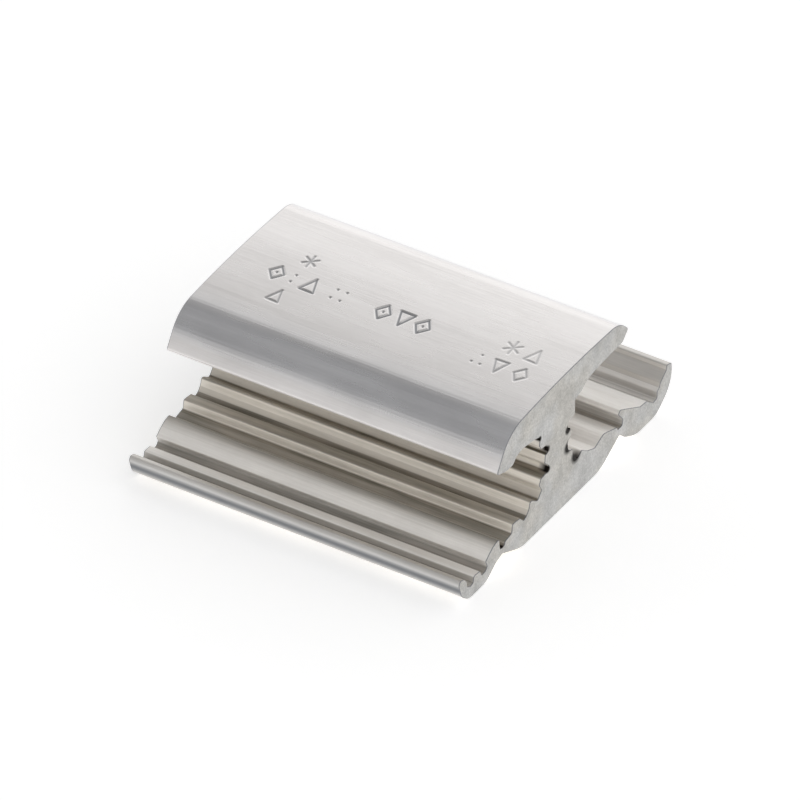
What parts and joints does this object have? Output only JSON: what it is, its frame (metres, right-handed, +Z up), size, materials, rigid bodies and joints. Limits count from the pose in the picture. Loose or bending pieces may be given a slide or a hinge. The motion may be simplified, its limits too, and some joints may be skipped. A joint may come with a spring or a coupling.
{
  "type": "h-type compression connector",
  "caption": "Aluminium H-section compression connector that joins a tap conductor to a run conductor, with ridged grooves and fold-over tabs.",
  "frame": {"origin": "on the flat underside, below the middle of the web, at half the length", "axes": "+X along the extrusion, +Y across it towards the larger (run) groove, +Z up from the underside to the domed top"},
  "size_m": [0.0446, 0.0464, 0.0187],
  "materials": {
    "aluminium": "bright as-extruded aluminium with fine die lines, sawn ends"
  },
  "bodies": {
    "root": {"connector_body": "aluminium"}
  },
  "joints": []
}
